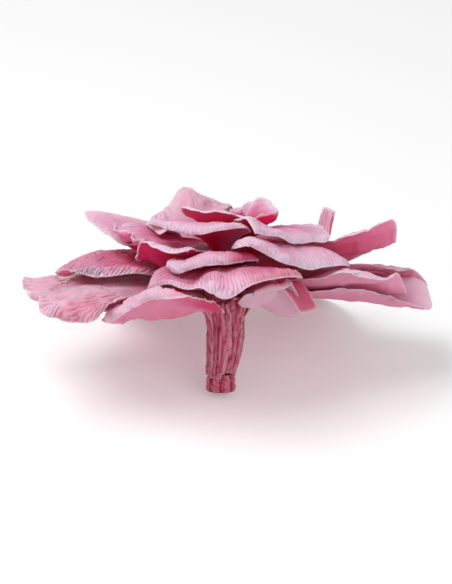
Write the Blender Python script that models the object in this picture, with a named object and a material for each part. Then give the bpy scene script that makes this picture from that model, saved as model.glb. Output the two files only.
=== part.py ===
"""A preserved gardenia head: a double bloom of separate soft petals on the ribbed tube and the
cut calyx that are left of its stem, lying as it rests on a table, leaned back on its petals.

Millimetres and degrees in the tables, metres in the scene. The flower is drawn upright, +Z up its
axis and its best side towards -Y, and one empty leans it back onto its rear petals.
"""

import math
from dataclasses import dataclass

import bpy
import numpy as np

MM = 0.001

# Driving dimensions
THICKNESS = 0.45       # of a petal
CLEARANCE = 0.45       # least free height between a petal and the ones that it lies on
TUBE_TOP = 20.0        # height of the tube's mouth, where the lowest petals start
HEART_TOP = 37.5       # height of the heart that the petals grow from
HEART_FOOT = 4.6       # radius of the heart at the tube's mouth
HEART_TIP = 1.4        # radius of the heart at its top
CLAW = 2.0             # half the width of a petal's foot
BELLY = 0.6            # share of a petal's length where it is widest
TAPER = 1.3            # share of its length where its side lines would meet
ROWS, COLUMNS = 12, 9  # points of a petal along and across
FIELD = 60.0           # half the side of the height map that petals are laid on
CELL = 0.5             # the height map's cell
FINE = 6               # steps between two points of a petal when it is laid down
SEGMENTS = 28          # points round the stem

# The stem: how far its middle stands to the right of the axis at each height, then
# (radius, height) pairs from the cut end up, and the depth of its ribs
SWAY = ((-0.35, 0.0), (-0.5, 5.0), (0.0, 10.0), (0.4, 15.0), (0.0, TUBE_TOP))
CUP = ((3.25, 0.0), (3.55, 0.7), (3.6, 3.2), (3.4, 4.2))
CUP_RIB = 0.12
TUBE = ((2.5, 4.5), (2.7, 8.0), (3.3, 13.0), (3.8, 18.0), (HEART_FOOT, 19.4))
HEART = ((HEART_FOOT, TUBE_TOP), (HEART_TIP, HEART_TOP))
TUBE_RIB = 0.1
SEPAL_FOOT = 4.5
SEPAL_SPAN = 43        # degrees of the tube that a strap covers
SEPAL_THICKNESS = 0.6
SEPAL_GAP = 0.3
# Each strap's plan direction, the height of its tip, and how far the tip stands off the tube
SEPALS = (
    (200, 18.4, 0.7),
    (251, 16.8, 0.0),
    (302, 17.8, 0.2),
    (353, 15.6, 0.0),
    (44, 17.6, 0.1),
    (95, 16.4, 0.0),
    (146, 17.2, 0.3),
)


@dataclass
class Petal:
    """One petal: its plan, and the heights that its sheet is drawn through."""

    name: str
    heading: float      # plan direction of its tip, 0 to the right and 90 to the rear
    length: float
    width: float
    foot: float         # height where it leaves the heart
    belly: float        # height where it is widest
    tip: float          # height of its tip
    left: float = 0     # height of its left rim over the belly, left as seen from the heart
    right: float = 0    # height of its right rim over the belly
    curl: float = 0     # height that the tip turns up by
    sweep: float = 0    # how far the tip is carried to the left
    point: float = 2.4  # 1 is a pointed tip, 3 a blunt one
    drop: float = 0.3   # how much shorter its sides are than its middle line
    ruffle: float = 0.5  # height of the waves along its rim


# From the lowest petal to the innermost one.
PETALS = (
    Petal("petal_rest_right", 60, 42, 26, 20.6, 18.2, 14.8, ruffle=0),
    Petal("petal_rest_left", 120, 42, 26, 20.6, 18.2, 14.8, ruffle=0),
    Petal("petal_low_right", 0, 43, 17, 20.8, 21.2, 19.4, right=1),
    Petal("petal_bowl_left", 229, 30.5, 28, 20.6, 19.4, 22.4, left=6.5),
    Petal("petal_bowl_right", 297, 22, 15, 21.6, 20.8, 27, left=1.5, right=4.5),
    Petal("petal_tongue_left", 181, 41, 22, 21.4, 23.8, 25.2, left=-1, right=1, point=3.5),
    Petal("petal_wing_left", 203, 40, 25, 22.4, 24.4, 22.0, left=-4, right=2, sweep=2.5),
    Petal("petal_wing_right", 355, 39, 21, 22.8, 24.2, 24.6, left=-3, right=5),
    Petal("petal_fold_right", 322, 24, 12, 24.6, 26.6, 21.3, left=1),
    Petal("petal_rear", 90, 38, 30, 22.4, 23.6, 22),
    Petal("petal_rear_right", 48, 32, 28, 23.4, 24.4, 22),
    Petal("petal_rear_left", 133, 32, 28, 23.4, 24.6, 23),
    Petal("petal_far_right", 14, 42, 24, 25.2, 25.8, 25.6, left=0.6),
    Petal("petal_ribbed_left", 175, 33, 28, 24.4, 30.6, 27.6, left=-2),
    Petal("petal_apron", 271, 28, 36, 25.0, 33, 27.8, left=-2.6, right=-2.5, point=2, drop=0.42),
    Petal("petal_leaf_left", 160, 30.5, 20, 28.0, 35.5, 40, left=-3.5, right=2.6, point=1.3, drop=0.5),
    Petal("petal_lip_left", 264, 23, 22, 27.6, 35.6, 33.4, right=-4.5),
    Petal("petal_cup_left", 222, 20, 18, 30.4, 29.8, 36.0, left=3.8, right=-0.5),
    Petal("petal_lip_right", 316, 26.5, 30, 29.8, 35.4, 32.3, left=-4, right=2.2),
    Petal("petal_pennant_right", 358, 36, 14, 31.0, 33, 38, left=-4, right=4, point=3, drop=0.12),
    Petal("petal_rear_high", 85, 26, 30, 28.0, 31, 31),
    Petal("petal_rear_curl", 48, 23, 24, 32, 33, 33.5),
    Petal("petal_crinkle_left", 183, 21, 20, 31.4, 37.2, 37.2, left=-2.5),
    Petal("petal_band_left", 250, 19, 24, 32.6, 40.2, 39.6, right=0.4, left=0.6),
    Petal("petal_spike_right", 17, 24, 7, 33, 33.6, 34.6, drop=0.06, curl=7),
    Petal("petal_band_right", 332, 21.5, 23, 34, 38.8, 36, left=-0.5, right=0.5),
    Petal("petal_heart_rear", 50, 7, 10, 34.4, 37.6, 39.6),
    Petal("petal_shoulder_left", 168, 15, 16, 34.6, 40, 39.2, left=-1),
    Petal("petal_sail", 143, 9, 22, 36.2, 42, 46.4, left=-1.5, right=-0.5, point=1.6, drop=0.5),
    Petal("petal_fold_top", 262, 9, 18, 35.8, 38.6, 43, left=1.2, right=3.8),
    Petal("petal_heart_right", 350, 9, 10, 36.8, 40.6, 42.2, left=3, right=-1),
    Petal("petal_heart_front", 300, 4, 8, 38.4, 40, 42.3),
)


def smooth(x, start=0.0, end=1.0):
    """0 before start, 1 after end, with an easy S between."""
    t = np.clip((x - start) / (end - start), 0, 1)
    return t * t * (3 - 2 * t)


def heart_radius(z):
    """Outer radius of the heart, a cone, at height z."""
    return np.interp(z, (TUBE_TOP, HEART_TOP), (HEART_FOOT, HEART_TIP))


def petal_grid(p, rows=ROWS, columns=COLUMNS):
    """Points of the petal's middle surface, rows along it and columns from its right rim to its left.

    In plan, the side lines stand off the middle line by a half width that grows to the belly and
    then shrinks, and they end before the tip. The height is one parabola along the middle line, from
    foot to belly to tip, plus one across it, from right rim to middle to left rim.
    """
    step, across = np.meshgrid(
        np.linspace(0, 1, rows), np.linspace(-1, 1, columns), indexing="ij"
    )
    side = np.abs(across)
    along = step * (1 - p.drop * side**p.point)

    half = CLAW + (p.width / 2 - CLAW) * np.sin(np.pi / 2 * np.clip(along / BELLY, 0, 1)) ** 1.3
    half = half * np.sqrt(1 - (np.clip(along - BELLY, 0, 1) / (TAPER - BELLY)) ** 2)
    out = heart_radius(p.foot) + CLEARANCE + THICKNESS + p.length * along
    aside = half * across + p.sweep * along**2
    turn = math.radians(p.heading)
    x = out * math.cos(turn) - aside * math.sin(turn)
    y = out * math.sin(turn) + aside * math.cos(turn)

    bend = (p.tip - p.foot - (p.belly - p.foot) / BELLY) / (1 - BELLY)
    z = p.foot + along * ((p.belly - p.foot) / BELLY + bend * (along - BELLY))
    opened = np.sin(np.pi / 2 * np.clip(along / BELLY, 0, 1))
    z = z + opened * across * ((p.left - p.right) / 2 + (p.left + p.right) / 2 * across)
    z = z + p.curl * smooth(step, 0.85, 1.0)
    wave = side**3 * np.sin(2 * math.tau * along + turn)
    wave = wave + along**5 * np.sin(math.tau * across + turn)
    return np.stack([x, y, z + opened * p.ruffle * wave], axis=-1)


def finer(grid, times):
    """The grid with straight steps added between its points, both ways."""
    for axis in (0, 1):
        count = grid.shape[axis]
        old = np.arange(count)
        new = np.linspace(0, count - 1, (count - 1) * times + 1)
        low = np.minimum(new.astype(int), count - 2)
        part = (new - old[low]).reshape([-1 if k == axis else 1 for k in range(grid.ndim)])
        grid = np.take(grid, low, axis) * (1 - part) + np.take(grid, low + 1, axis) * part
    return grid


def cells_of(points):
    """Row and column of the height map under each point."""
    cell = np.clip((points[..., :2] + FIELD) / CELL, 0, 2 * FIELD / CELL - 1)
    return cell[..., 0].astype(int), cell[..., 1].astype(int)


def lay_down(grid, heights):
    """Lifts the petal where it would meet those below, then adds it to the height map."""
    fine = finer(grid, FINE)
    i, j = cells_of(fine)
    need = heights[i, j] + THICKNESS + CLEARANCE - fine[..., 2]
    rows, columns = grid.shape[:2]
    lift = np.zeros((rows, columns))
    for r in range(rows):
        for c in range(columns):
            near = need[
                max(0, (r - 1) * FINE) : (r + 1) * FINE + 1,
                max(0, (c - 1) * FINE) : (c + 1) * FINE + 1,
            ]
            lift[r, c] = max(0.0, near.max())
    for _ in range(3):
        wide = np.pad(lift, 1, mode="edge")
        blur = (wide[:-2, 1:-1] + wide[2:, 1:-1] + wide[1:-1, :-2] + wide[1:-1, 2:]) / 4
        lift = np.maximum(lift, blur)
    grid = grid.copy()
    grid[..., 2] += lift
    fine = finer(grid, FINE)
    i, j = cells_of(fine)
    for di in (-1, 0, 1):
        for dj in (-1, 0, 1):
            np.maximum.at(heights, (i + di, j + dj), fine[..., 2])
    return grid


def laid_petals():
    """Every petal's grid, laid on the ones before it."""
    side = int(2 * FIELD / CELL) + 2
    heights = np.full((side, side), -1000.0)
    return {p.name: lay_down(petal_grid(p), heights) for p in PETALS}


def material(name, colour, roughness):
    made = bpy.data.materials.new(name)
    made.use_nodes = True
    shader = made.node_tree.nodes["Principled BSDF"]
    shader.inputs["Base Color"].default_value = (*colour, 1)
    shader.inputs["Roughness"].default_value = roughness
    return made


def add_object(name, points, faces, finish, parent):
    mesh = bpy.data.meshes.new(name)
    mesh.from_pydata((points * MM).tolist(), [], faces)
    mesh.materials.append(finish)
    mesh.shade_smooth()
    made = bpy.data.objects.new(name, mesh)
    made.parent = parent
    bpy.context.scene.collection.objects.link(made)
    return made


def add_sheet(name, grid, thickness, finish, parent):
    """A sheet through the grid's points, thickened half to either side."""
    rows, columns = grid.shape[:2]
    number = np.arange(rows * columns).reshape(rows, columns)
    corners = (number[:-1, :-1], number[1:, :-1], number[1:, 1:], number[:-1, 1:])
    faces = np.stack(corners, axis=-1).reshape(-1, 4).tolist()
    made = add_object(name, grid.reshape(-1, 3), faces, finish, parent)
    thick = made.modifiers.new("thickness", "SOLIDIFY")
    thick.thickness = thickness * MM
    thick.offset = 0
    return made


def sway(height):
    """How far the stem's middle stands to the right of the flower's axis at a height."""
    offsets, heights = zip(*SWAY)
    return np.interp(height, heights, offsets)


def add_turned(name, profile, depth, finish, parent):
    """A closed body round the stem's middle line from (radius, height) pairs, with ribs."""
    turn = np.arange(SEGMENTS) / SEGMENTS * math.tau
    radius, height = np.array(profile).T[:, :, None]
    radius = radius + depth * np.cos(len(SEPALS) * turn)
    points = np.stack(
        [sway(height) + radius * np.cos(turn), radius * np.sin(turn), height + 0 * radius], axis=-1
    )
    number = np.arange(radius.size).reshape(-1, SEGMENTS)
    after = np.roll(number, -1, axis=1)
    wall = np.stack([number[:-1], after[:-1], after[1:], number[1:]], axis=-1).reshape(-1, 4)
    faces = [*wall.tolist(), number[0, ::-1].tolist(), number[-1].tolist()]
    return add_object(name, points.reshape(-1, 3), faces, finish, parent)


def sepal_grid(turn, top, flare):
    """A strap of the calyx: it follows the tube from the cup up, narrows, and flares at its tip."""
    up, across = np.meshgrid(np.linspace(0, 1, 10), np.linspace(-1, 1, 5), indexing="ij")
    height = SEPAL_FOOT + (top - SEPAL_FOOT) * up
    radii, heights = zip(*TUBE)
    radius = np.interp(height, heights, radii) + TUBE_RIB + SEPAL_GAP + SEPAL_THICKNESS / 2
    radius = radius + flare * smooth(up, 0.75, 1.0)
    angle = math.radians(turn) + across * math.radians(SEPAL_SPAN) / 2 * np.sqrt(1 - 0.9 * up**4)
    return np.stack(
        [sway(height) + radius * np.cos(angle), radius * np.sin(angle), height], axis=-1
    )


def leaned(points, lean):
    """The points turned about +X so that the flower's top goes back by the lean."""
    y, z = points[:, 1], points[:, 2]
    c, s = math.cos(lean), math.sin(lean)
    return np.stack([points[:, 0], y * c + z * s, z * c - y * s], axis=-1)


def finished_points(objects):
    """Where the objects' vertices are once their modifiers are on."""
    bpy.context.view_layer.update()
    graph = bpy.context.evaluated_depsgraph_get()
    return np.array([v.co[:] for made in objects for v in made.evaluated_get(graph).data.vertices])


def set_down(flower, stem, petals):
    """Leans the flower back until the cut end and the petals are equally low, and centres it.

    The lean is found by halving: while the petals are still the higher ones it must lean further.
    """
    ends, tips = finished_points(stem), finished_points(petals)
    low, high = 0.0, math.radians(45)
    for _ in range(40):
        lean = (low + high) / 2
        if leaned(tips, lean)[:, 2].min() > leaned(ends, lean)[:, 2].min():
            low = lean
        else:
            high = lean
    at_rest = leaned(np.concatenate([ends, tips]), low)
    (left, front, bottom), (right, back, _) = at_rest.min(axis=0), at_rest.max(axis=0)
    flower.rotation_euler = (-low, 0, 0)
    flower.location = (-(left + right) / 2, -(front + back) / 2, -bottom)


def main():
    for old in list(bpy.data.objects):
        bpy.data.objects.remove(old, do_unlink=True)
    flower = bpy.data.objects.new("flower", None)
    bpy.context.scene.collection.objects.link(flower)
    pink = material("petal_pink", (0.74, 0.36, 0.5), 0.7)
    wine = material("tube_wine", (0.4, 0.1, 0.16), 0.75)
    rose = material("sepal_rose", (0.45, 0.14, 0.22), 0.75)

    stem = [
        add_turned("calyx_cup", CUP, CUP_RIB, rose, flower),
        add_turned("corolla_tube", (*TUBE, *HEART), TUBE_RIB, wine, flower),
    ]
    for number, strap in enumerate(SEPALS, start=1):
        grid = sepal_grid(*strap)
        stem.append(add_sheet(f"sepal_{number}", grid, SEPAL_THICKNESS, rose, flower))
    petals = [
        add_sheet(name, grid, THICKNESS, pink, flower) for name, grid in laid_petals().items()
    ]
    set_down(flower, stem, petals)


main()
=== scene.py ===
"""The looks of a preserved gardenia head: every petal as its own crinkled sheet, on the ribbed tube
and the torn calyx that are left of its stem.

Everything is drawn upright in millimetres, +Z up the flower's axis and its best side towards -Y,
and then leaned back to where the solid flower rests.
"""

import math
from dataclasses import dataclass

import bpy
import numpy as np
from mathutils import Matrix, Vector


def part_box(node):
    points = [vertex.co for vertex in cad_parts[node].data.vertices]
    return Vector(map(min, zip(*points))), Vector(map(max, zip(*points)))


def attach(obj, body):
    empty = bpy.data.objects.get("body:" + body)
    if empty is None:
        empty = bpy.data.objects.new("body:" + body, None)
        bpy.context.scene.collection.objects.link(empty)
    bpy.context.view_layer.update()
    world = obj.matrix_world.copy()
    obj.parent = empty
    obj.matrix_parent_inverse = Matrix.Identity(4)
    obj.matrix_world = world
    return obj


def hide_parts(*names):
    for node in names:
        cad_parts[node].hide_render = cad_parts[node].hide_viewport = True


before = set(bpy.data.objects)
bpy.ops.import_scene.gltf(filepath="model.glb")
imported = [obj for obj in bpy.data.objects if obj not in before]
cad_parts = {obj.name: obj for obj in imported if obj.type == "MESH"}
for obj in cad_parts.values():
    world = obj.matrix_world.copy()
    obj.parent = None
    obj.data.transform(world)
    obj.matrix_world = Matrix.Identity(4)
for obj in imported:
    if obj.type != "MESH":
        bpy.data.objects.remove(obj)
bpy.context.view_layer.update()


# The calyx cup: the torn base of the calyx, a woody wine-red collar round the cut end. It is a
# turned wall with uneven ridges, and it closes over the cut. Its solid also shows where the
# flower lies.
MM = 0.001
LEAN = math.radians(20.8)
CUP_MIDDLE = (-0.43, 0.0, 2.1)    # middle of the solid cup's box, before the lean
SWAY = (    # (height, how far the stem's middle line stands to the right) keys
    (0.0, -0.55), (4.0, -0.5), (8.0, 0.15), (12.0, 0.55), (16.0, 0.6), (20.0, 0.3), (24.0, 0.0),
    (40.0, 0.0),
)


def leaned(points):
    """The points turned about +X so that the flower's top goes back by the lean."""
    x, y, z = np.moveaxis(np.asarray(points, float), -1, 0)
    c, s = math.cos(LEAN), math.sin(LEAN)
    return np.stack([x, y * c + z * s, z * c - y * s], axis=-1)


cup_low, cup_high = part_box("calyx_cup")
shift = np.array((cup_low + cup_high) / 2) - leaned(CUP_MIDDLE) * MM


def at_rest(points):
    """Drawn millimetres as metres in the frame: leaned back, then set down."""
    return leaned(points) * MM + shift


def smooth(x, start=0.0, end=1.0):
    """0 before start, 1 after end, with an easy S between."""
    t = np.clip((x - start) / (end - start), 0, 1)
    return t * t * (3 - 2 * t)


def drawn_through(x, keys):
    """A smooth line through (place, value) keys: cubic between two keys, and its slope at a key is
    the mean slope of the lines on either side."""
    place, value = np.array(keys, float).T
    slope = np.gradient(value, place)
    k = np.clip(np.searchsorted(place, x, side="right") - 1, 0, len(place) - 2)
    gap = place[k + 1] - place[k]
    t = np.clip((x - place[k]) / gap, 0, 1)
    ends = value[k] * (1 + 2 * t) * (1 - t) ** 2 + value[k + 1] * t * t * (3 - 2 * t)
    return ends + gap * t * (1 - t) * (slope[k] * (1 - t) - slope[k + 1] * t)


def uneven(a, b, size, seed):
    """Soft uneven bumps from about -1 to 1 and about size across: sine waves, each turned by the
    golden angle from the last and a little longer, and bent by the sum of those before it."""
    waves, golden_angle, longer, bend = 8, 2.4, 0.17, 1.3
    peak = 3.5    # the height that their sum seldom passes
    total = np.zeros(np.broadcast(a, b).shape)
    for n in range(waves):
        turn = golden_angle * n + seed
        wave = (a * math.cos(turn) + b * math.sin(turn)) / size * math.tau / (1 + longer * n)
        total = total + np.sin(wave + bend * total + seed * (n + 1))
    return total / peak


def add_mesh(name, points, faces, finish, **layers):
    """A mesh object at the origin from drawn points, with a value per point for each layer."""
    mesh = bpy.data.meshes.new(name)
    mesh.from_pydata(at_rest(points).tolist(), [], faces.tolist())
    for layer, values in layers.items():
        attribute = mesh.attributes.new(layer, "FLOAT", "POINT")
        attribute.data.foreach_set("value", np.asarray(values, np.float32).ravel())
    mesh.materials.append(finish)
    mesh.shade_smooth()
    made = bpy.data.objects.new(name, mesh)
    bpy.context.scene.collection.objects.link(made)
    return made


def add_node(tree, kind, **inputs):
    """A shader node. Sockets given to it are linked and values are set, by the input's name or by
    I and its number. A key in small letters is one of the node's own settings."""
    made = tree.nodes.new("ShaderNode" + kind)
    for key, value in inputs.items():
        if key[0].islower():
            setattr(made, key, value)
            continue
        name = key.replace("_", " ")
        socket = made.inputs[int(key[1:]) if key[1:].isdigit() else name]
        if isinstance(value, bpy.types.NodeSocket):
            tree.links.new(value, socket)
        else:
            socket.default_value = value
    return made


def reckoned(tree, operation, *values):
    """The value that a named operation makes of up to three others."""
    inputs = {f"I{number}": value for number, value in enumerate(values)}
    return add_node(tree, "Math", operation=operation, **inputs).outputs[0]


def mixed(tree, share, first, second):
    """The colour at a share of the way from the first colour to the second."""
    return add_node(tree, "Mix", data_type="RGBA", I0=share, I6=first, I7=second).outputs[2]


def ramp(tree, value, *stops):
    """A colour ramp through (place, (red, green, blue)) stops."""
    made = add_node(tree, "ValToRGB", Fac=value)
    line = made.color_ramp
    for number, (place, colour) in enumerate(stops):
        stop = line.elements[number] if number < 2 else line.elements.new(place)
        stop.position, stop.color = place, (*colour, 1)
    return made.outputs[0]


def new_finish(name):
    """A material with its tree and its Principled shader."""
    made = bpy.data.materials.new(name)
    made.use_nodes = True
    return made, made.node_tree, made.node_tree.nodes["Principled BSDF"]


def stem_finish(name, groove, flesh, ridge):
    """Dried stem skin: fibres run up it, dark in the grooves and pale on the ridges and torn edges.

    The fibres are a broad and a fine noise over the turn and height layers, drawn out up the stem.
    """
    finish, tree, shader = new_finish(name)
    read = {
        key: add_node(tree, "Attribute", attribute_name=key).outputs["Fac"]
        for key in ("turn", "height", "relief", "edge")
    }
    place = add_node(tree, "CombineXYZ", X=read["turn"], Y=read["height"]).outputs[0]
    wide = add_node(tree, "Mapping", Vector=place, Scale=(5.0, 0.11, 1.0)).outputs[0]
    fine = add_node(tree, "Mapping", Vector=place, Scale=(24.0, 0.35, 1.0)).outputs[0]
    bands = add_node(tree, "TexNoise", Vector=wide, Scale=1.0, Detail=3.0, Roughness=0.6)
    threads = add_node(tree, "TexNoise", Vector=fine, Scale=1.0, Detail=4.0, Roughness=0.6)
    paleness = reckoned(tree, "MULTIPLY_ADD", bands.outputs[0], 0.5, -0.18)
    paleness = reckoned(tree, "MULTIPLY_ADD", threads.outputs[0], 0.6, paleness)
    paleness = reckoned(tree, "MULTIPLY_ADD", read["relief"], 0.4, paleness)
    colour = ramp(tree, paleness, (0.36, groove), (0.72, ridge), (0.52, flesh))
    colour = mixed(tree, read["edge"], colour, (0.82, 0.46, 0.5, 1))
    tree.links.new(colour, shader.inputs["Base Color"])
    shader.inputs["Roughness"].default_value = 0.6
    shader.inputs["Specular IOR Level"].default_value = 0.25
    shader.inputs["Subsurface Weight"].default_value = 0.3
    shader.inputs["Subsurface Radius"].default_value = (1.0, 0.3, 0.35)
    shader.inputs["Subsurface Scale"].default_value = 0.0006
    bump = add_node(tree, "Bump", Strength=0.7, Distance=0.0003, Height=threads.outputs[0])
    tree.links.new(bump.outputs[0], shader.inputs["Normal"])
    return finish


def turned(name, profile, relief, finish, rows):
    """A closed body round the stem's middle line: its radius at a height is a smooth line through
    (height, radius) keys plus a relief of turn and height. Rings that shrink and sink a little
    close each end in to a pole."""
    around = 160                                      # points in a ring
    closing = np.array([0.96, 0.7, 0.35])[:, None]    # radius of each closing ring, as a share
    sunk = np.array([0.0, 0.18, 0.3])[:, None]        # how far it lies in from the end
    pole_sunk = 0.05                                  # how much further in the pole lies
    height = np.linspace(profile[0][0], profile[-1][0], rows)
    turn = np.arange(around) / around * math.tau
    turn, height = np.meshgrid(turn, height)
    depth = relief(turn, height)
    radius = drawn_through(height, profile) + depth
    radius = np.concatenate([radius[:1] * closing[::-1], radius, radius[-1:] * closing])
    extra = len(closing)
    turn = np.concatenate([turn[:extra], turn, turn[:extra]])
    height = np.concatenate([height[0] + sunk[::-1], height, height[-1] - sunk])
    depth = np.concatenate([depth[:1].repeat(extra, 0), depth, depth[-1:].repeat(extra, 0)])
    points = np.stack(
        [drawn_through(height, SWAY) + radius * np.cos(turn), radius * np.sin(turn), height],
        axis=-1,
    )
    poles = points[[0, -1]].mean(axis=1) + np.array([[0, 0, pole_sunk], [0, 0, -pole_sunk]])
    number = np.arange(radius.size).reshape(radius.shape)
    after = np.roll(number, -1, axis=1)
    wall = np.stack([number[:-1], after[:-1], after[1:], number[1:]], axis=-1).reshape(-1, 4)
    lower = np.stack([after[0], number[0], np.full(around, radius.size)], axis=-1)
    upper = np.stack([number[-1], after[-1], np.full(around, radius.size + 1)], axis=-1)
    faces = np.array([*wall.tolist(), *lower.tolist(), *upper.tolist()], dtype=object)
    # The relief layer is about 0 in a groove and 1 on a ridge.
    layers = {
        "turn": np.append(turn, [0, 0]),
        "height": np.append(height, poles[:, 2]),
        "relief": np.append(depth * 2 + 0.5, [0.3, 0.3]),
        "edge": np.zeros(radius.size + len(poles)),
    }
    return add_mesh(name, np.concatenate([points.reshape(-1, 3), poles]), faces, finish, **layers)


def fibres(turn, height, count, seed):
    """Uneven ribs that run up a stem: count waves round it whose phase wanders with height, at a
    depth that comes and goes."""
    wander = 1.2 * uneven(3 * turn / math.tau, height / 9, 1.0, seed)
    depth = 0.6 + 0.4 * uneven(turn, height / 5, 1.6, seed + 2)
    return np.sin(count * turn + wander + seed) * depth


def cup_relief(turn, height):
    """The cup's lobes: swollen ridges with sharp grooves between, fine fibres, and dents. A lobe is
    half a cosine wave round the cup, without its sign and made blunter by a power."""
    swing = 0.15 * np.sin(height * 1.3)
    lobes = 0.4 * np.abs(np.cos(CUP_LOBES / 2 * turn + 0.6 + swing)) ** 0.7 - 0.3
    dents = uneven(CUP_LOBES / 2 * turn, height, 1.6, 4.0)
    return lobes + 0.07 * fibres(turn, height, 22, 1.7) + 0.12 * dents


CUP_LOBES = 7
CUP_PROFILE = (    # (height, radius) keys
    (0.0, 2.95), (0.4, 3.25), (1.6, 3.2), (2.8, 3.25), (3.5, 3.0), (4.1, 2.75),
)
cup_finish = stem_finish("calyx_wine", (0.24, 0.008, 0.04), (0.57, 0.08, 0.16), (0.75, 0.26, 0.34))
calyx = turned("calyx", CUP_PROFILE, cup_relief, cup_finish, rows=50)
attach(calyx, "root")
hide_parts("calyx_cup")


# The corolla tube and the heart above it: one fleshy tube, dried into ribs, that widens to the
# mouth and goes on as the cone that every petal grows from. Only its lower part shows.
def tube_relief(turn, height):
    """Ribs and dents that are deep on the tube and shallow on the heart, from its mouth up."""
    shown = 1 - 0.8 * smooth(height, 19, 23)
    dents = uneven(turn * 3, height / 4, 1.4, 2.2)
    return shown * (0.13 * fibres(turn, height, 19, 0.4) + 0.12 * dents)


TUBE_PROFILE = (    # (height, radius) keys
    (4.6, 2.75), (8.0, 3.25), (12.0, 3.65), (15.5, 3.65), (17.5, 3.85), (19.2, 4.3), (20.4, 4.8),
    (22.0, 5.0), (30.0, 2.7), (37.0, 1.5),
)
tube_finish = stem_finish("tube_wine", (0.26, 0.01, 0.05), (0.5, 0.08, 0.16), (0.7, 0.24, 0.32))
tube = turned("tube", TUBE_PROFILE, tube_relief, tube_finish, rows=130)
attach(tube, "root")
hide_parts("corolla_tube")


# The sepals: seven long straps of the calyx that dried onto the tube, edge to edge. Each is a
# fibrous sheet that follows the tube, torn at its foot over the cup and at its tip.
SEPAL_THICKNESS = 0.36
SPAN = 50.0               # degrees of the tube that a strap covers
STRAP_GAP = 0.42          # from the tube's wall to the strap's middle


def shell(name, middle, thickness, finish, **layers):
    """A closed sheet round a grid of middle points, half its thickness to either side along the
    grid's normal, with its rim closed by a strip. Each layer is a value per grid point, and the
    face layer is 1 on the upper side and 0 on the lower."""
    normal = grid_normal(middle)
    rows, columns = middle.shape[:2]
    half = (thickness / 2 * np.ones((rows, columns)))[..., None]
    number = np.arange(rows * columns).reshape(rows, columns)
    upper = np.stack([number[:-1, :-1], number[1:, :-1], number[1:, 1:], number[:-1, 1:]], axis=-1)
    upper = upper.reshape(-1, 4)
    lower = upper[:, ::-1] + number.size
    rim = np.concatenate([number[0], number[1:, -1], number[-1, -2::-1], number[-2:0:-1, 0]])
    after = np.roll(rim, -1)
    strip = np.stack([rim, after, after + number.size, rim + number.size], axis=-1)
    points = np.concatenate([middle + normal * half, middle - normal * half]).reshape(-1, 3)
    both = {
        key: np.tile(np.broadcast_to(values, (rows, columns)).ravel(), 2)
        for key, values in layers.items()
    }
    both["face"] = np.repeat([1.0, 0.0], number.size)
    return add_mesh(name, points, np.concatenate([upper, lower, strip]), finish, **both)


def grid_normal(grid):
    """The unit normal at every point of a grid: its rows' direction crossed with its columns'."""
    normal = np.cross(np.gradient(grid, axis=0), np.gradient(grid, axis=1))
    return normal / np.maximum(np.linalg.norm(normal, axis=-1, keepdims=True), 1e-9)


def strap(direction, foot, top, flare, seed):
    """A strap's middle points, with the turn, height, relief and torn edge at each. It follows the
    tube from the cup up and flares at its tip. Its relief is three waves across it, finer ones on
    them, uneven bumps, raised edges and a welt above its foot, and both its ends are torn."""
    rows, columns = 90, 34
    up, across = np.meshgrid(np.linspace(0, 1, rows), np.linspace(-1, 1, columns), indexing="ij")
    foot = foot + 0.5 * uneven(across * 2, 0 * across, 1.3, seed)
    top = top + 0.3 * uneven(across * 2, 0 * across, 1.5, seed + 4) - 1.2 * across**4
    height = foot + (top - foot) * up
    angle = math.radians(direction) - across * math.radians(SPAN / 2)
    # Neighbours wander the same way, so that their edges still meet.
    angle = angle + 0.12 * uneven(height / 5 + 2 * np.cos(angle), 2 * np.sin(angle), 2.5, 3.0)
    radius = drawn_through(height, TUBE_PROFILE) + STRAP_GAP + flare * smooth(up, 0.75, 1.0)
    ridges = 0.11 * np.sin(9.4 * across + 0.9 * uneven(up * 2, across, 2.0, seed) + seed)
    ridges = ridges + 0.05 * np.sin(23 * across + 1.2 * uneven(up * 3, across, 2.0, seed + 2))
    bumps = 0.1 * uneven(up * 6, across, 1.3, seed + 1)
    welt = np.exp(-(((height - foot - 1.6) / 0.4) ** 2))
    relief = ridges + bumps + 0.08 * across**2
    relief = relief + 0.25 * welt * uneven(across, 0 * up, 1.6, seed)
    grid = np.stack(
        [
            drawn_through(height, SWAY) + (radius + relief) * np.cos(angle),
            (radius + relief) * np.sin(angle),
            height,
        ],
        axis=-1,
    )
    ragged = np.clip(0.7 + 0.7 * uneven(up * 5, across, 1.2, seed + 3), 0, 1)
    sides = smooth(np.abs(across), 0.86, 0.97) * ragged
    edge = np.maximum(sides, 0.8 * smooth(0.02 - up, 0, 0.02))
    return grid, angle, height, relief, edge


# Each strap's plan direction, the heights of its foot and tip, and how far its tip flares.
STRAPS = (
    (200, 4.2, 21.0, 0.6),
    (251.5, 3.7, 21.6, 0.0),
    (303, 4.7, 22.2, 0.2),
    (354.5, 4.2, 21.8, 1.3),
    (46, 4.4, 19.4, 0.1),
    (97.5, 4.0, 19.2, 0.0),
    (149, 4.3, 19.6, 0.2),
)
strap_finish = stem_finish("sepal_rose", (0.26, 0.01, 0.05), (0.5, 0.08, 0.16), (0.7, 0.24, 0.32))
for number, (direction, foot, top, flare) in enumerate(STRAPS, start=1):
    grid, angle, height, relief, edge = strap(direction, foot, top, flare, number * 1.9)
    sepal = shell(
        f"sepal_strap_{number}", grid, SEPAL_THICKNESS, strap_finish,
        turn=angle, height=height, relief=relief * 2 + 0.4, edge=edge,
    )
    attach(sepal, "root")
    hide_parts(f"sepal_{number}")


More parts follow.
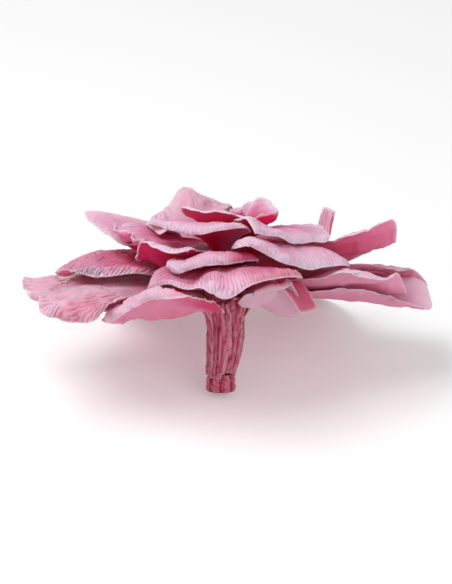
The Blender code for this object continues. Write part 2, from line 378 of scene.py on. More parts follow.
# The lowest petals, which the flower rests on. Every petal is a soft preserved sheet, dyed pink,
# that grows from the heart: smooth and deep pink beneath, pale and finely veined above.
HEART_HEIGHTS, HEART_RADII = (20.0, 37.5), (4.6, 1.4)    # of the solid heart's foot and tip
STAND_OFF = 0.9        # from the heart's wall to the middle of a petal's foot
CLAW = 2.0             # half the width of a petal's foot
BELLY = 0.6            # share of a petal's length where it is widest
TAPER = 1.3            # share of its length where its side lines would meet
PETAL_THICKNESS = 0.42
RIM_THICKNESS = 0.45   # share of that which is left at the rim
RIM_WIDTH = 1.2        # width of the margin where it thins
CLEARANCE = 0.34       # free height between a petal and the ones that it lies on
RIB_PITCH = 0.8        # distance between a petal's ribs at its rim
RIB_DEPTH, FOLD_DEPTH, DENT_DEPTH = 0.03, 0.2, 0.08

# The height map holds the top of the petals laid so far, cell by cell round the axis.
FIELD, CELL = 60.0, 0.5    # half the map's side, and a cell's side
CELLS = int(2 * FIELD / CELL)
heights = np.full((CELLS + 2, CELLS + 2), -1000.0)    # far below everything


@dataclass
class Petal:
    """One petal: its plan, the heights that its sheet is drawn through, and what its rim does."""

    name: str
    heading: float                # plan direction of its tip, 0 to the right and 90 to the rear
    length: float
    width: float
    foot: float                   # height where it leaves the heart
    belly: float                  # height where it is widest
    tip: float                    # height of its tip
    left: float = 0               # height of its left rim over the belly, seen from the heart
    right: float = 0              # height of its right rim over the belly
    curl: float = 0               # height that the tip turns up by
    turn: float = 0.85            # the share of its length where that starts
    sweep: float = 0              # how far the tip is carried to the left
    point: float = 2.4            # 1 is a pointed tip, 3 a blunt one
    drop: float = 0.3             # how much shorter its sides are than its middle line
    ruffle: float = 0.5           # height of the waves in its sheet
    # Round the rim, -1 is the right end of the foot, 0 the tip and 1 the left end of the foot.
    rise: tuple = ()              # (place, how much the rim rises) keys
    reach: tuple = ()             # (place, how much the rim reaches further out) keys
    roll: tuple = ()              # (place, degrees that the margin rolls up) keys
    margin: float = 4             # width of the margin that rolls
    ribs: float = 1.0             # depth of its ribs, 1 is plain
    crumple: float = 1.0          # depth of its folds and dents, 1 is plain
    veins: tuple = (-0.7, 0.0)    # where its veins spread from, in lengths and half widths
    deep: float = 0.0             # how much deeper its colour is, 0 to 1: dye and painted shade
    dye_and_shade: tuple = ()             # (place, share) keys of a deeper margin: dye and painted shade
    under: float = 0.0            # how much deeper it is beneath: painted shade on shaded undersides
    pale: float = 0.0             # how much paler it is: missing dye, and painted light on the wings
    cream: tuple = ()             # (place, share) keys of a band that took no dye
    band: tuple = (0.9, 1.3)      # where that lies, 0 is the foot's middle and 1 the rim
    hangs: bool = False           # its outer half hangs free, past the petals below


def draw_petal(p, rows, columns):
    """A petal's middle points, rows along it and columns from its right rim to its left one.

    In plan its side lines stand off the middle line by a half width that grows to the belly and
    then shrinks. Its height is one parabola along it, from foot to belly to tip, plus one across,
    plus waves that grow towards the rim. Then the rim rises, reaches out, and rolls, each by a
    smooth line through keys round the rim.

    It also returns, for each point, the shares of the way to the tip and to the side, the place
    round the rim, the share of the way from the foot to the rim, and the plan before it is turned.
    """
    t = np.linspace(0, 1, rows)
    s = np.linspace(-1, 1, columns)
    closer = 1.35    # points lie closer together towards the rim
    step, across = np.meshgrid(
        1 - (1 - t) ** 1.3, np.sin(closer * s) / math.sin(closer), indexing="ij"
    )
    side = np.abs(across)
    along = step * (1 - p.drop * side**p.point)
    opened = np.sin(np.pi / 2 * np.clip(along / BELLY, 0, 1))
    half = CLAW + (p.width / 2 - CLAW) * opened**1.3
    half = half * np.sqrt(1 - (np.clip(along - BELLY, 0, 1) / (TAPER - BELLY)) ** 2)
    base = np.interp(p.foot, HEART_HEIGHTS, HEART_RADII) + STAND_OFF
    bend = (p.tip - p.foot - (p.belly - p.foot) / BELLY) / (1 - BELLY)
    z = p.foot + along * ((p.belly - p.foot) / BELLY + bend * (along - BELLY))
    z = z + opened * across * ((p.left - p.right) / 2 + (p.left + p.right) / 2 * across)
    z = z + p.curl * smooth(step, p.turn, 1.0)
    heading = math.radians(p.heading)
    wave = side**3 * np.sin(2 * math.tau * along + heading)
    wave = wave + along**5 * np.sin(math.tau * across + heading)
    z = z + opened * p.ruffle * wave

    place = np.arctan2(across, step) * 2 / math.pi
    share = (side**6 + step**6) ** (1 / 6)
    near = smooth(share, 0.35, 1.0)
    out = p.length * along
    aside = half * across + p.sweep * along**2
    if p.reach:
        more = near * drawn_through(place, p.reach)
        out = out + more * np.cos(place * math.pi / 2)
        aside = aside + more * np.sin(place * math.pi / 2)
    if p.rise:
        z = z + near * drawn_through(place, p.rise)
    grid = np.stack([base + out, aside, z], axis=-1)
    if p.roll:
        grid = rolled(grid, p, place, side, step, half)
    x, y, z = np.moveaxis(grid, -1, 0)
    cos, sin = math.cos(heading), math.sin(heading)
    x, y = x * cos - y * sin, x * sin + y * cos
    return np.stack([x, y, z], axis=-1), step, across, place, share, out, aside


def rolled(grid, p, place, side, step, half):
    """The grid with its margin rolled into an arc. A point at a distance t past the line where the
    roll starts goes to sin(kt) / k outwards and (1 - cos(kt)) / k along the normal. Its distance
    from the rim is the smaller of those from the side and from the tip, rounded where they meet."""
    to_side = (1 - side) * half + 1e-6
    to_tip = (1 - step) * p.length + 1e-6
    rim = to_side * to_tip / (to_side**4 + to_tip**4) ** 0.25
    t = np.clip(p.margin - rim, 0, None)
    k = np.radians(drawn_through(place, p.roll)) / p.margin
    along = np.gradient(grid, axis=0)
    aside = np.gradient(grid, axis=1) * np.where(place < 0, -1, 1)[..., None]
    along = along / np.linalg.norm(along, axis=-1, keepdims=True)
    aside = aside / np.linalg.norm(aside, axis=-1, keepdims=True)
    lean_to_tip = smooth(to_side - to_tip, -p.margin, p.margin)[..., None]
    outward = along * lean_to_tip + aside * (1 - lean_to_tip)
    normal = grid_normal(grid)
    outward = outward - normal * (outward * normal).sum(axis=-1, keepdims=True)
    outward = outward / np.maximum(np.linalg.norm(outward, axis=-1, keepdims=True), 1e-9)
    further = (t * (np.sinc(k * t / math.pi) - 1))[..., None]
    higher = (0.5 * k * t**2 * np.sinc(k * t / math.tau) ** 2)[..., None]
    return grid + outward * further + normal * higher


def spread(values, reach, how):
    """The greatest or the mean of the values within reach grid points, both ways."""
    for axis in (0, 1):
        edge = [(reach, reach) if k == axis else (0, 0) for k in (0, 1)]
        padded = np.pad(values, edge, mode="edge")
        windows = np.lib.stride_tricks.sliding_window_view(padded, 2 * reach + 1, axis)
        values = how(windows, axis=-1)
    return values


def lay_down(grid, free):
    """Lifts the petal where it would meet those below, and adds it to the height map. The lift is
    the greatest need nearby and then the mean of that, so that it is soft. Where free is 1 it
    isn't lifted."""
    nearby, next_to = 5, 2    # grid points
    cell = np.clip((grid[..., :2] + FIELD) / CELL, 1, CELLS - 1).astype(int)
    need = heights[cell[..., 0], cell[..., 1]] + PETAL_THICKNESS + CLEARANCE - grid[..., 2]
    need = np.clip(need * (1 - free), 0, None)
    lift = spread(spread(need, nearby, np.max), nearby, np.mean)
    lift = spread(np.maximum(lift, need), next_to, np.mean)
    grid = grid + lift[..., None] * np.array([0, 0, 1])
    for di in (-1, 0, 1):
        for dj in (-1, 0, 1):
            np.maximum.at(heights, (cell[..., 0] + di, cell[..., 1] + dj), grid[..., 2])
    return grid


def carried(tree, value, low, high, first, last):
    """A value carried from its way between low and high to the same way between first and last."""
    made = add_node(tree, "MapRange", Value=value, I1=low, I2=high, I3=first, I4=last)
    return made.outputs[0]


def petal_finish():
    """Preserved petal: colour deepens from the rim to the foot, partly dye and partly painted shade
    where the feet lie under the petals above, and beneath it is deeper and smooth.

    Along the veins layer run waves that a noise bends, which darken and dent the grooves between
    the ribs, and on them lie soft blotches and a fine grain. Where the petal says so, the deep
    layer then adds deeper dye and painted shade, the under layer painted shade beneath, the pale
    layer missing dye and painted light, and the cream layer a band that took no dye. The edge
    layer paints a highlight along every rim.
    """
    wave_texture = 20    # radians of a wave texture in one unit of it
    layers = (
        "veins", "length", "share", "face", "edge", "ribs", "deep", "under", "pale", "cream",
    )
    finish, tree, shader = new_finish("petal_pink")
    read = {
        key: add_node(tree, "Attribute", attribute_name=key).outputs["Fac"] for key in layers
    }
    place = add_node(tree, "CombineXYZ", X=read["veins"], Y=read["length"]).outputs[0]
    wide = add_node(tree, "Mapping", Vector=place, Scale=(0.16, 0.1, 1.0)).outputs[0]
    long = add_node(tree, "Mapping", Vector=place, Scale=(1.0, 0.25, 1.0)).outputs[0]
    blotch = add_node(tree, "TexNoise", Vector=wide, Scale=1.0, Detail=3.0).outputs[0]
    vein = add_node(
        tree, "TexWave", Vector=long, Scale=math.tau / wave_texture / RIB_PITCH, Distortion=1.6,
        Detail=2.0, Detail_Scale=0.8, Phase_Offset=math.pi / 2,
    ).outputs["Fac"]
    spot = add_node(tree, "TexCoord").outputs["Object"]
    grain = add_node(tree, "TexNoise", Vector=spot, Scale=2600.0, Detail=2.0).outputs[0]

    # Both colours run from the foot to the rim. The deep crimson at the foot is partly dye and
    # partly painted shade, where the feet lie under the petals above.
    above = ramp(tree, read["share"], (0.15, (0.76, 0.008, 0.055)), (0.98, (0.83, 0.6, 0.72)),
                 (0.5, (0.6, 0.08, 0.19)), (0.8, (0.75, 0.38, 0.53)))
    below = ramp(tree, read["share"], (0.15, (0.78, 0.01, 0.07)), (0.98, (0.94, 0.25, 0.44)),
                 (0.6, (0.9, 0.115, 0.29)))
    # The under layer: painted shade on undersides that lie in shade.
    below = mixed(tree, read["under"], below, (0.75, 0.03, 0.165, 1))
    groove = carried(tree, vein, 0.1, 0.75, 0.7, 0.0)
    groove = reckoned(tree, "MULTIPLY", groove, read["ribs"])
    above = mixed(tree, groove, above, (0.5, 0.12, 0.25, 1))
    dark = carried(tree, blotch, 0.42, 0.68, 0.0, 0.4)
    above = mixed(tree, dark, above, (0.66, 0.24, 0.42, 1))
    colour = mixed(tree, read["face"], below, above)
    # The deep layer: deeper dye, and painted shade where a petal or margin lies in shade.
    colour = mixed(tree, read["deep"], colour, (0.62, 0.035, 0.13, 1))
    # The edge layer: a painted highlight along every rim.
    colour = mixed(tree, read["edge"], colour, (0.95, 0.68, 0.75, 1))
    # The pale layer: missing dye, and painted light on faces that lie in shade.
    colour = mixed(tree, read["pale"], colour, (0.8, 0.5, 0.6, 1))
    colour = mixed(tree, read["cream"], colour, (0.95, 0.86, 0.72, 1))
    tree.links.new(colour, shader.inputs["Base Color"])
    shader.inputs["Roughness"].default_value = 0.6
    shader.inputs["Specular IOR Level"].default_value = 0.12
    shader.inputs["Subsurface Weight"].default_value = 0.6
    shader.inputs["Subsurface Radius"].default_value = (1.0, 0.3, 0.4)
    shader.inputs["Subsurface Scale"].default_value = 0.0015
    raised = reckoned(tree, "MULTIPLY", vein, read["face"])
    raised = reckoned(tree, "MULTIPLY", raised, read["ribs"])
    veins = add_node(tree, "Bump", Strength=0.7, Distance=0.0003, Height=raised).outputs[0]
    skin = add_node(tree, "Bump", Strength=0.25, Distance=0.0001, Height=grain, Normal=veins)
    tree.links.new(skin.outputs[0], shader.inputs["Normal"])
    return finish


petal_skin = petal_finish()


def fineness(p):
    """How many points a petal has along and across it: a few at its ends and so many to a
    millimetre, which are finer where deep ribs have to be crossed."""
    fine = 4.4
    ribs_run_across = abs(p.veins[1]) > 5    # its veins spread from far out to one side
    along = fine if ribs_run_across else 1.2
    across = fine if p.ribs >= 1 and not ribs_run_across else 2.4
    return 24 + int(p.length * along), 20 + int(p.width * across)


def tint(place, keys, margin):
    """A smooth line through keys round the rim, kept from 0 to 1, on a margin that fades in."""
    return np.clip(drawn_through(place, keys), 0, 1) * margin if keys else 0.0


def grow(p):
    """Draws a petal, lays it on those below, ribs and crumples its sheet, and closes it.

    The ribs are waves round the point that its veins spread from, bent and faded by uneven bumps,
    and wider bumps crumple it. The sheet thins towards its rim.
    """
    rows, columns = fineness(p)
    grid, step, across, place, share, out, aside = draw_petal(p, rows, columns)
    grid = lay_down(grid, smooth(step, 0.5, 0.7) if p.hangs else 0.0)
    seed = p.heading / 17 + p.length
    from_out, from_aside = p.veins
    out_by, aside_by = out - from_out * p.length, aside - from_aside * p.width / 2
    away = np.hypot(out_by, aside_by)
    veins = np.median(away[share > 0.95]) * np.arctan2(aside_by, out_by)
    veins = veins + 0.4 * uneven(out, aside, 6.0, seed) + 0.12 * uneven(aside, out, 2.2, seed + 6)
    strength = np.clip(0.75 + 0.6 * uneven(aside, out, 4.5, seed + 3), 0, 1)
    strength = strength * smooth(share, 0.1, 0.5)
    ribs = np.sin(math.tau * veins / RIB_PITCH) * strength
    folds = uneven(aside, out, 6.0, seed + 5) * smooth(share, 0.2, 0.8)
    dents = uneven(aside, out, 2.6, seed + 8) * smooth(share, 0.3, 0.9)
    relief = RIB_DEPTH * p.ribs * ribs + p.crumple * (FOLD_DEPTH * folds + DENT_DEPTH * dents)
    grid = grid + grid_normal(grid) * relief[..., None]

    to_rim = np.minimum((1 - np.abs(across)) * p.width / 2, (1 - step) * p.length)
    thickness = RIM_THICKNESS + (1 - RIM_THICKNESS) * smooth(to_rim, 0, RIM_WIDTH)
    inner, outer = p.band
    band = smooth(share, inner, inner + 0.05) * (1 - smooth(share, outer - 0.04, outer))
    # Margins of deeper colour: deeper dye, and painted shade in the gaps under other petals.
    dye_and_shade = tint(place, p.dye_and_shade, smooth(share, 0.55, 0.85))
    cream = tint(place, p.cream, band)
    # The edge layer paints a highlight along the rim, and deep and pale carry painted shade and
    # light as well as dye.
    return shell(
        p.name + "_sheet", grid, PETAL_THICKNESS * thickness, petal_skin,
        veins=veins, length=away, ribs=p.ribs / 3 * strength, share=np.clip(share, 0, 1),
        edge=0.75 * (1 - smooth(to_rim, 0.1, 0.6)), deep=p.deep + dye_and_shade, under=p.under,
        pale=p.pale * (1 - dye_and_shade) * smooth(share, 0.1, 0.6), cream=cream,
    )


def plant(petals):
    """Grows the petals of a whorl, each laid on those before it, and adds them to the flower."""
    for petal in petals:
        sheet = grow(petal)
        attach(sheet, "root")
        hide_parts(petal.name)


LOWEST = (
    Petal("petal_rest_right", 60, 42, 26, 20.6, 18.2, 14.8, ruffle=0, crumple=0.4, ribs=0.9,
          rise=((-1, 0), (-0.85, 3), (-0.6, 4.2), (-0.3, 0), (0, 0), (1, 0))),
    Petal("petal_rest_left", 120, 42, 26, 20.6, 18.2, 14.8, ruffle=0, crumple=0.4, ribs=0.9,
          rise=((-1, 0), (0, 0), (0.3, 0), (0.6, 4.2), (0.85, 3), (1, 0))),
)
plant(LOWEST)


# The outer whorl, front and sides: the broad petals that spread level or droop, with rolled rims.
# They are sheets like the lowest ones, and their feet leave the heart just above those.
OUTER = (
    Petal("petal_low_right", 0, 43, 17, 22.0, 21.5, 20.2, right=3, ribs=0.4, pale=0.4,
          rise=((-1, 0), (-0.7, 0.7), (-0.6, 0.7), (-0.5, 0), (-0.35, -1.4), (-0.2, -0.8), (0, 0),
                (0.12, 1), (0.25, 4.6), (0.35, 5.6), (0.48, 1), (0.6, 0), (1, 0))),
    Petal("petal_bowl_left", 229, 31, 28, 21.2, 19.8, 22.4, left=6.5, margin=3.8, ribs=0.8,
          pale=0.35, crumple=1.8,
          rise=((-1, 0), (-0.75, 0), (-0.5, 1.3), (-0.25, 2.8), (0, 4.8), (0.25, 5.2), (0.38, 4.8),
                (0.5, 2.5), (0.6, 0.4), (0.7, -0.8), (0.85, -1.4), (1, -1.6)),
          reach=((-1, 0), (0.5, 0), (0.75, 3), (0.88, 4.5), (1, 3)),
          dye_and_shade=((-1, 0), (0.3, 0), (0.42, 0.2), (0.5, 0.6), (0.6, 0.9), (0.8, 0.9), (1, 0.9)),
          cream=((-1, 0), (0.75, 0), (0.9, 0.35), (1, 0.35)),
          roll=((-1, 0), (-0.7, -60), (-0.5, -120), (0, -140), (0.35, -150), (0.5, -60), (0.6, 0),
                (1, 0))),
    Petal("petal_bowl_right", 312, 18.5, 13, 22.6, 21.8, 21.2, curl=6.4, turn=0.5, left=-3,
          right=1.5, point=2, drop=0.4, margin=2.8, ribs=0.5, pale=0.9, hangs=True,
          rise=((-1, 0), (-0.8, 0), (-0.7, 0), (-0.6, -1), (-0.5, -2.4), (-0.4, -1), (-0.3, 0),
                (-0.2, 0.6), (-0.1, 1.4), (0, 2.2), (0.1, 1.6), (0.2, -0.6), (0.35, -3.8),
                (0.5, -5.6), (0.6, -4), (0.7, -1), (0.8, 0), (1, 0)),
          reach=((-1, 0), (0, 0), (0.2, 0), (0.35, 0.6), (0.5, 1.5), (0.6, 1.2), (0.75, 0.5),
                 (1, 0)),
          roll=((-1, 0), (-0.8, 0), (-0.7, -20), (-0.5, -100), (-0.3, -120), (0, -110), (0.15, -40),
                (0.25, 0), (0.5, 0), (1, 0))),
    Petal("petal_tongue_left", 181, 41, 22, 21.4, 23.8, 25.2, left=-1.5, right=2.6, point=3.5,
          pale=0.7, ribs=2, margin=2.6, band=(0.7, 1.3),
          rise=((-1, 0), (-0.7, -1), (-0.5, -1.6), (-0.35, -0.8), (0, -0.8), (0.3, -1.6), (1, 0)),
          roll=((-1, 0), (-0.8, 110), (-0.6, 110), (-0.42, 0), (-0.25, 20), (0.1, 60),
                (0.35, 110), (0.6, 0), (1, 0)),
          cream=((-1, 0), (-0.66, 0), (-0.62, 1), (-0.48, 1), (-0.44, 0), (0.1, 0), (0.16, 1),
                 (0.24, 1), (0.32, 0), (1, 0))),
    # Its pale is painted light on its shaded face. Its deeper margins are painted shade, in the gap
    # under the ribbed petal and on its drooping lower part.
    Petal("petal_wing_left", 203, 40, 25, 22.4, 25.6, 22.0, left=-4, right=2, sweep=2.5, ribs=4.6,
          pale=0.8, margin=5,
          dye_and_shade=((-1, 0.9), (-0.6, 0.8), (-0.42, 0.3), (-0.25, 0), (0.12, 0), (0.25, 0.5),
                 (0.45, 0.5), (0.58, 0.9), (0.7, 0.9), (0.85, 0), (1, 0)),
          rise=((-1, 0), (-0.6, 0), (-0.5, -1.5), (-0.4, -1.2), (-0.2, 0), (0, 0.4), (0.1, 1.6),
                (0.2, 1.8), (0.3, 0.6), (0.4, 0), (0.5, -0.8), (0.6, -1.2), (0.8, 0), (1, 0)),
          reach=((-1, 0), (-0.4, 0), (0, 0), (0.2, 0), (0.3, -1), (0.4, -2.5), (0.5, -3),
                 (0.6, -2), (0.8, 0), (1, 0)),
          roll=((-1, 0), (0, 0), (0.12, -40), (0.3, -60), (0.42, -40), (0.5, 0), (1, 0))),
    # Its pale is painted light on its shaded face, and its deeper rear margin is painted shade
    # under the lip.
    Petal("petal_wing_right", 355, 37.5, 26, 24.2, 21.8, 20.6, left=-1, right=8, margin=6.4,
          ribs=0.3, pale=0.5,
          dye_and_shade=((-1, 0.9), (-0.68, 0.7), (-0.56, 0), (1, 0)),
          rise=((-1, 0), (-0.8, 0), (-0.7, 2), (-0.62, 3.6), (-0.55, 4.6), (-0.45, 4.2),
                (-0.35, 3.6), (-0.25, 4.2), (-0.15, 3), (0, 1), (0.5, 0), (1, 0)),
          roll=((-1, 0), (-0.75, -30), (-0.6, -100), (-0.5, -90), (-0.4, -40), (-0.3, 20),
                (-0.15, 40), (0.1, 0), (1, 0))),
    # Its deep colour is painted shade: it hangs in shade.
    Petal("petal_fold_right", 322, 20, 8, 24.6, 28.6, 21.2, point=4, drop=0.02, deep=0.7, ruffle=0,
          ribs=0.2, hangs=True),
)
plant(OUTER)


# The rear whorl: broad petals behind the heart that fill the round, and the far one to the right.
# They are sheets of the same kind, laid on the lowest and the outer ones.
REAR = (
    Petal("petal_rear", 90, 38, 30, 22.4, 23.6, 22, ribs=0.9),
    Petal("petal_rear_right", 48, 32, 28, 23.4, 24.4, 22, ribs=0.9),
    Petal("petal_rear_left", 133, 32, 28, 23.4, 24.6, 23, ribs=0.9),
    Petal("petal_far_right", 14, 42.5, 24, 25.2, 25, 23.4, left=-2, right=4.2, margin=5, ribs=0.3,
          pale=0.6,
          dye_and_shade=((-1, 0), (-0.4, 0), (-0.25, 0.4), (-0.1, 1), (0.1, 1), (0.2, 0.3), (0.4, 0),
                 (1, 0)),
          rise=((-1, 0), (-0.7, 1), (-0.55, 0.8), (-0.4, 0.2), (-0.25, -1.4), (-0.1, -0.8),
                (0, -0.6), (0.15, 0.6), (0.3, 0), (1, 0)),
          reach=((-1, 0), (-0.4, 0.5), (-0.1, 2), (0.2, 1), (0.4, 0), (1, 0))),
)
plant(REAR)


# The middle whorl: the ribbed petal on the left, the apron and the two lips in front, the cupped
# petal, the leaf and the pennant that stand off to the sides, and two behind. They are sheets of
# the same kind, whose feet leave the heart about half-way up it.
MIDDLE = (
    Petal("petal_ribbed_left", 175, 34, 28, 24.4, 30.6, 27.6, left=-2, ribs=4, margin=2.5,
          veins=(-0.6, -6), deep=0.2,
          rise=((-1, 0), (-0.3, 0), (-0.1, -0.6), (0.1, -1.2), (0.3, -0.2), (0.6, 1.6), (1, 0)),
          roll=((-1, 0), (-0.1, -20), (0.05, 70), (0.25, 80), (0.38, 30), (0.48, -30), (0.7, -60),
                (1, 0))),
    # Its deeper margins are painted shade under the lip above it.
    Petal("petal_apron", 271, 28, 36, 25.0, 31.8, 27.8, left=-0.8, right=-1.3, point=2, drop=0.42,
          ribs=2.4, margin=3, veins=(0.2, 0),
          dye_and_shade=((-1, 0.3), (-0.5, 0.25), (-0.15, 0), (0.1, 0), (0.3, 0.4), (0.5, 0.5), (1, 0.3)),
          rise=((-1, 0), (-0.6, 1), (-0.5, -1.8), (-0.4, -3.6), (-0.3, -4), (-0.2, 0), (-0.1, 1.4),
                (0, 0.6), (0.1, 1.4), (0.3, 1.6), (0.45, 0.9), (0.6, 0), (1, 0)),
          roll=((-1, 0), (-0.5, -50), (-0.2, -30), (0, -90), (0.2, -30), (0.5, -60), (1, 0))),
    Petal("petal_leaf_left", 160, 30.5, 20, 28.0, 35.5, 40, left=-3.5, right=2.6, point=1.3,
          drop=0.5, ribs=0.5, under=1, margin=3.5,
          rise=((-1, 0), (0, 0), (0.15, 0), (0.4, 1.8), (0.7, 1), (1, 0)),
          roll=((-1, 0), (-0.5, 0), (0, 0), (0.2, 0), (0.4, 0), (0.5, 60), (0.6, 130), (0.8, 130),
                (1, 0))),
    # Its deeper right margin is painted shade, where it sinks into shade.
    Petal("petal_lip_left", 264, 23, 22, 27.6, 34.6, 33.4, right=-4.5, margin=2.8,
          dye_and_shade=((-1, 0), (0, 0), (0.2, 0.2), (0.35, 0.7), (0.6, 0.8), (1, 0.3)),
          reach=((-1, 0), (0, 0), (0.15, -0.3), (0.3, -0.8), (0.5, -1), (0.7, 0), (1, 0)),
          rise=((-1, 0), (-0.4, 0.8), (0, 1.9), (0.25, 0.6), (0.5, 0), (1, 0)),
          roll=((-1, 0), (-0.5, -60), (0, -90), (0.5, -60), (1, 0))),
    Petal("petal_cup_left", 222, 20, 18, 30.4, 29.8, 36.0, left=3.8, right=-0.5, margin=1.6,
          under=0.9,
          rise=((-1, 0), (-0.5, -0.6), (-0.3, 1), (-0.05, 2.4), (0.1, 2.4), (0.25, 0.8), (0.4, -1),
                (0.6, -1.5), (1, 0)),
          roll=((-1, 0), (-0.5, -60), (0, -80), (0.5, -80), (1, 0))),
    Petal("petal_lip_right", 316, 26.5, 30, 29.8, 36, 30.2, left=-4.4, right=2.2, margin=3,
          rise=((-1, 0), (-0.6, 0.6), (-0.5, 1.6), (-0.4, 1), (-0.3, 0.7), (-0.2, 1.2), (0, 2.2),
                (0.2, 2.6), (0.3, 2.4), (0.38, 1.4), (0.5, -1), (0.7, -1), (1, 0)),
          reach=((-1, 0), (-0.7, 0.5), (-0.6, 1.2), (-0.5, 0), (0.2, 0), (0.38, 3), (0.5, -1.5),
                 (0.7, 0), (1, 0)),
          roll=((-1, 0), (-0.6, -90), (-0.4, -70), (0, -50), (0.3, -30), (0.5, 0), (1, 0))),
    Petal("petal_pennant_right", 358, 36, 14, 30.0, 33, 38, left=-4, right=4, point=5, drop=0.1,
          pale=0.14, ribs=0.2,
          rise=((-1, 0), (-0.7, -1), (-0.6, -1), (-0.5, 0.2), (-0.35, -0.5), (-0.2, 0), (0, -0.6),
                (0.3, -1.4), (0.45, 0.4), (0.52, 0.6), (0.6, -1.6), (0.8, -2), (1, 0))),
    Petal("petal_rear_high", 85, 26, 30, 28, 33.5, 32, ribs=0.9),
    Petal("petal_rear_curl", 48, 23, 24, 30, 34, 34, ribs=0.9),
)
plant(MIDDLE)


# The inner whorl: shorter petals that lie as bands over the middle ones, and the upright spike.
# They are sheets of the same kind, whose feet leave the heart above the middle ones.
INNER = (
    Petal("petal_crinkle_left", 183, 22, 20, 31.4, 37.2, 37.2, left=-2.5, crumple=3, margin=3,
          roll=((-1, 0), (-0.2, 10), (0.1, 70), (0.5, 60), (0.8, 0), (1, 0))),
    Petal("petal_band_left", 250, 19, 24, 32.6, 41.2, 40.8, left=0.2, margin=2,
          roll=((-1, 0), (-0.5, -70), (0, -110), (0.5, -60), (1, 0))),
    Petal("petal_spike_right", 22, 24.8, 7.6, 33, 33.2, 33.4, point=3, drop=0.04, curl=6.8,
          turn=0.9, margin=2, ribs=2, ruffle=0, deep=0.2,
          roll=((-1, 0), (-0.3, 30), (0, 10), (0.3, 30), (1, 0))),
    Petal("petal_band_right", 327, 22, 30, 34, 38.8, 36, left=-0.5, right=0.5, margin=2, under=0.8,
          rise=((-1, 0), (-0.5, 1), (-0.4, 1.8), (-0.3, 0.8), (-0.2, 1), (0, 1.6), (0.15, 0.2),
                (0.3, -1.8), (0.4, -1), (0.5, -0.4), (0.6, 0), (0.75, 0.8), (1, 0)),
          reach=((-1, 0), (0, 0), (0.2, 1.5), (0.4, 0), (1, 0)),
          roll=((-1, 0), (-0.5, -50), (0, -40), (0.5, 0), (1, 0))),
)
plant(INNER)


# The heart: the last small petals round the middle, crumpled, with one that stands up as a sail.
# They are sheets of the same kind, and close the flower over the heart's tip.
HEART = (
    Petal("petal_heart_rear", 50, 7, 12, 34.4, 39.5, 43, crumple=3),
    Petal("petal_shoulder_left", 168, 15, 16, 34.6, 38.6, 37.6, left=-1),
    Petal("petal_sail", 140, 13, 28, 36.2, 39.5, 43, drop=0.4, crumple=1.4, pale=0.6,
          rise=((-1, 1), (-0.5, 1.6), (-0.35, 2.2), (-0.22, 3), (-0.12, 1.8), (0, -0.2),
                (0.2, -1.8), (0.35, -3), (0.5, -2.2), (0.7, -1), (1, 0)),
          reach=((-1, 0), (-0.75, 5), (-0.55, 3), (-0.4, 0), (-0.2, 0), (1, 0))),
    Petal("petal_fold_top", 262, 9.5, 20, 35.8, 40.4, 43, left=-0.6, right=2, under=0.6, margin=1.5,
          rise=((-1, 0), (-0.6, 1.2), (-0.5, 1), (-0.2, 0.6), (0, 2), (0.15, 1.8), (0.35, 0.6),
                (0.5, 0.5), (1, 0)),
          reach=((-1, 0), (-0.6, -2), (-0.45, -2), (-0.3, -0.6), (0, 0), (1, 0)),
          roll=((-1, 0), (-0.5, -60), (0, -80), (0.5, -60), (1, 0))),
    Petal("petal_heart_right", 350, 11, 11, 36.8, 38.8, 42.4, left=5.2, right=1.8, margin=2,
          under=1,
          rise=((-1, 0), (-0.5, 0.6), (-0.3, 0.2), (-0.1, 0), (0, -0.6), (0.3, -1.8), (0.4, -1.2),
                (0.5, -1.2), (0.65, 2.4), (0.8, 1), (1, 0)),
          roll=((-1, 0), (-0.4, 20), (0, 60), (0.3, 20), (1, 0))),
    # Its deep colour is painted shade in the gap under it.
    Petal("petal_heart_front", 300, 4, 8, 38.4, 40, 43.3, crumple=4, deep=0.5),
)
plant(HEART)


# The table that it lies on: a plain white sheet, which stays white behind the flower and keeps its
# shadow.
REACH = 4.0          # metres from the flower to the table's sides
FLOOR_GLOW = 0.25    # what the camera sees on top of the light that falls on it

corners = [(-REACH, -REACH, 0), (REACH, -REACH, 0), (REACH, REACH, 0), (-REACH, REACH, 0)]
floor_mesh = bpy.data.meshes.new("floor")
floor_mesh.from_pydata(corners, [], [(0, 1, 2, 3)])
floor = bpy.data.objects.new("floor", floor_mesh)
bpy.context.scene.collection.objects.link(floor)
floor_finish, tree, shader = new_finish("floor_white")
shader.inputs["Base Color"].default_value = (0.8, 0.8, 0.8, 1)
shader.inputs["Roughness"].default_value = 1.0
shader.inputs["Specular IOR Level"].default_value = 0.0
floor_mesh.materials.append(floor_finish)


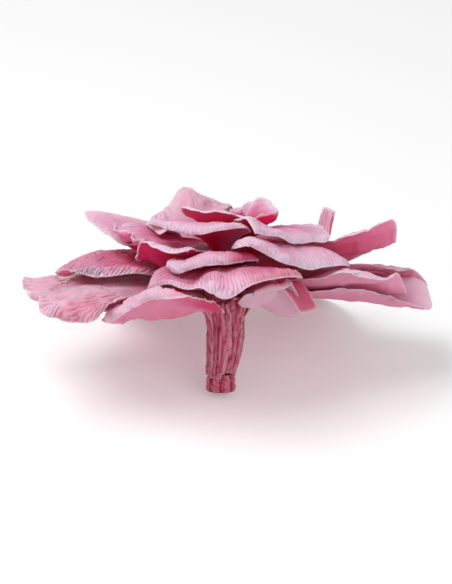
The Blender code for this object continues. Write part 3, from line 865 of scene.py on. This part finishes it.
def seen(tree):
    """1 on a ray from the camera, a reflection or a transmission, and 0 on the light's own rays."""
    path = add_node(tree, "LightPath").outputs
    first = reckoned(tree, "MAXIMUM", path["Is Camera Ray"], path["Is Glossy Ray"])
    return reckoned(tree, "MAXIMUM", first, path["Is Transmission Ray"])


glow = reckoned(tree, "MULTIPLY", seen(tree), FLOOR_GLOW)
tree.links.new(glow, shader.inputs["Emission Strength"])
shader.inputs["Emission Color"].default_value = (1, 1, 1, 1)

# The studio's white walls: at full strength where they are seen, and duller as a light.
WALL_LIGHT = 0.4
world = bpy.data.worlds.new("studio")
world.use_nodes = True
tree = world.node_tree
sky = tree.nodes["Background"]
sky.inputs["Color"].default_value = (1, 1, 1, 1)
level = carried(tree, seen(tree), 0.0, 1.0, WALL_LIGHT, 1.0)
tree.links.new(level, sky.inputs["Strength"])
bpy.context.scene.world = world


# Soft studio light: one lamp above on the left, and a larger and weaker one on the right. The
# camera looks a little down on the petals. All three are placed in the flower's own upright
# drawing, and lean back with it.
def aimed(name, data, place, target):
    """An object at a drawn place that looks at a drawn target."""
    made = bpy.data.objects.new(name, data)
    bpy.context.scene.collection.objects.link(made)
    here, there = Vector(at_rest(place)), Vector(at_rest(target))
    facing = (there - here).to_track_quat("-Z", "Y").to_matrix().to_4x4()
    made.matrix_world = Matrix.Translation(here) @ facing
    return made


def lamp(name, place, size, power):
    """A soft lamp, size metres square and power watts, that looks at the flower's middle."""
    data = bpy.data.lights.new(name, "AREA")
    data.size, data.energy = size, power
    aimed(name, data, place, FLOWER_MIDDLE)


FLOWER_MIDDLE = (0, 0, 25)
lamp("key", (-260, -260, 500), 0.35, 2.4)
lamp("fill", (300, -480, 160), 0.5, 0.9)

VIEW_HEIGHT = math.radians(10)
VIEW_DISTANCE = 600
TARGET = (0.7, 0.0, 23.2)
eye = bpy.data.cameras.new("camera")
eye.lens = 160.8
eye.clip_start, eye.clip_end = 0.05, 20
towards_eye = np.array([0, -math.cos(VIEW_HEIGHT), math.sin(VIEW_HEIGHT)])
eye_place = np.array(TARGET) + VIEW_DISTANCE * towards_eye
bpy.context.scene.camera = aimed("camera", eye, eye_place, TARGET)
bpy.context.scene.view_settings.view_transform = "Standard"

bpy.context.view_layer.update()
